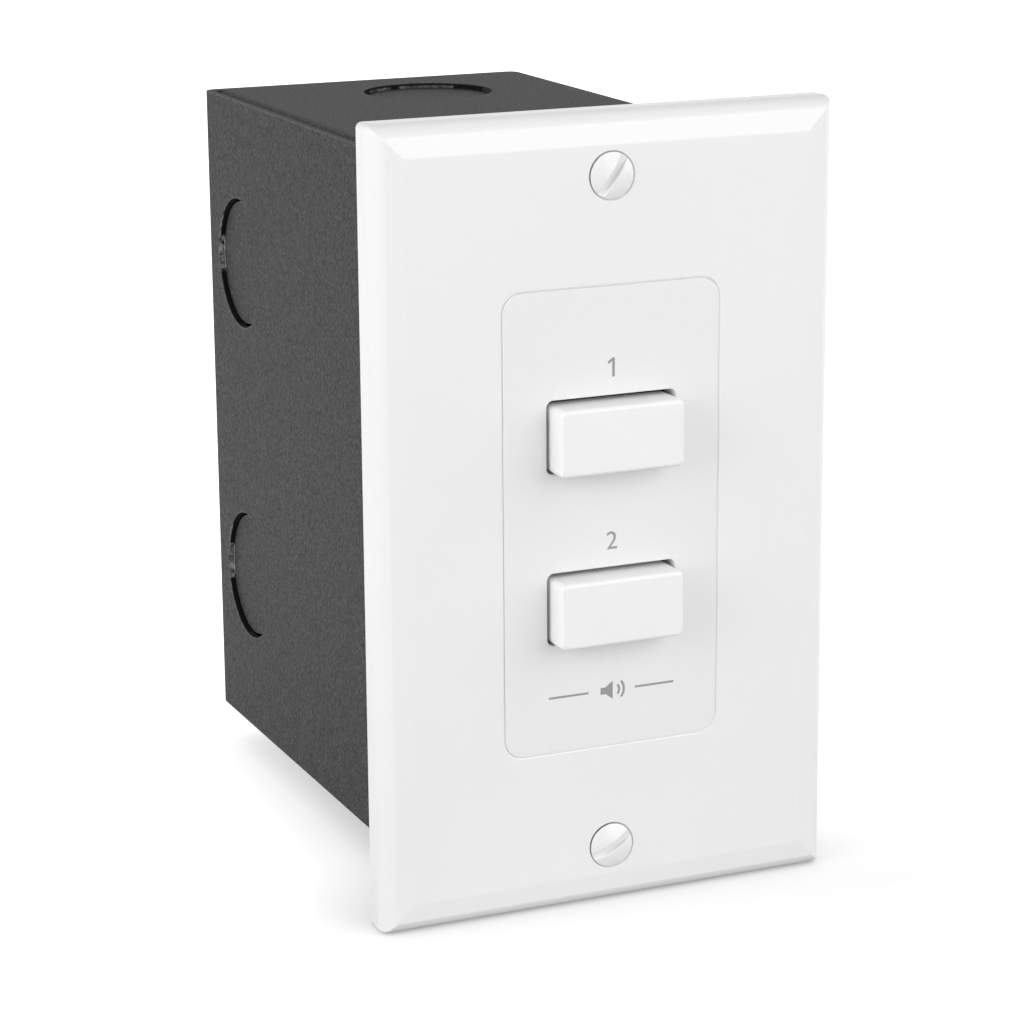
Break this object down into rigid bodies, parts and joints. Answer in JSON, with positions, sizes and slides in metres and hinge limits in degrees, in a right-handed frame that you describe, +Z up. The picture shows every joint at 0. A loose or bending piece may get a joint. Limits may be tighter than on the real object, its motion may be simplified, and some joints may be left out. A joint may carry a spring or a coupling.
{
  "type": "speaker selector switch",
  "caption": "In-wall speaker selector: bevelled wall plate, bezel with latching push buttons, screw terminals and a deep steel box with knockouts.",
  "frame": {"origin": "centre of the wall plate on the wall's surface, in the plane of the plate's rear rim", "axes": "+X to the right seen from the front, +Y into the wall towards the box's back, +Z up"},
  "size_m": [0.0698, 0.0988, 0.1142],
  "materials": {
    "plate_gloss": "gloss",
    "screw_enamel": "gloss",
    "bezel_matte": "satin",
    "button_plastic": "satin",
    "zinc_steel": "satin",
    "spring_steel": "satin",
    "tinned_brass": "satin",
    "contact_brass": "satin",
    "switch_nylon": "matte",
    "plunger_acetal": "satin",
    "board_laminate": "satin",
    "terminal_plastic": "satin",
    "powder_coat": "textured matte"
  },
  "bodies": {
    "housing": {"wall_plate": "plate_gloss", "plate_screws": "screw_enamel", "button_bezel": "bezel_matte", "mounting_strap": "zinc_steel", "strap_screws": "zinc_steel", "return_spring_1": "spring_steel", "latch_wire_1": "spring_steel", "switch_cover_1": "switch_nylon", "switch_base_1": "switch_nylon", "switch_pins_1": "contact_brass", "return_spring_2": "spring_steel", "latch_wire_2": "spring_steel", "switch_cover_2": "switch_nylon", "switch_base_2": "switch_nylon", "switch_pins_2": "contact_brass", "circuit_board": "board_laminate", "board_spacers": "zinc_steel", "board_screws": "zinc_steel", "terminal_block_input": "terminal_plastic", "terminal_block_1": "terminal_plastic", "terminal_block_2": "terminal_plastic", "terminal_clamps": "tinned_brass", "terminal_screws": "zinc_steel", "box_body": "powder_coat", "box_top": "powder_coat", "box_bottom": "powder_coat", "side_knockouts": "powder_coat", "end_knockouts": "powder_coat"},
    "upper_button": {"button_1": "button_plastic", "plunger_1": "plunger_acetal", "contact_clips_1": "contact_brass"},
    "lower_button": {"button_2": "button_plastic", "plunger_2": "plunger_acetal", "contact_clips_2": "contact_brass"}
  },
  "joints": [
    {"name": "button_1_press", "type": "slide", "parent": "housing", "child": "upper_button", "axis": [0, 1, 0], "range_m": [0, 0.0035], "stiffness_N_per_m": 300, "springref_m": -0.006, "deforming": ["return_spring_1"]},
    {"name": "button_2_press", "type": "slide", "parent": "housing", "child": "lower_button", "axis": [0, 1, 0], "range_m": [0, 0.0035], "stiffness_N_per_m": 300, "springref_m": -0.006, "deforming": ["return_spring_2"]}
  ]
}
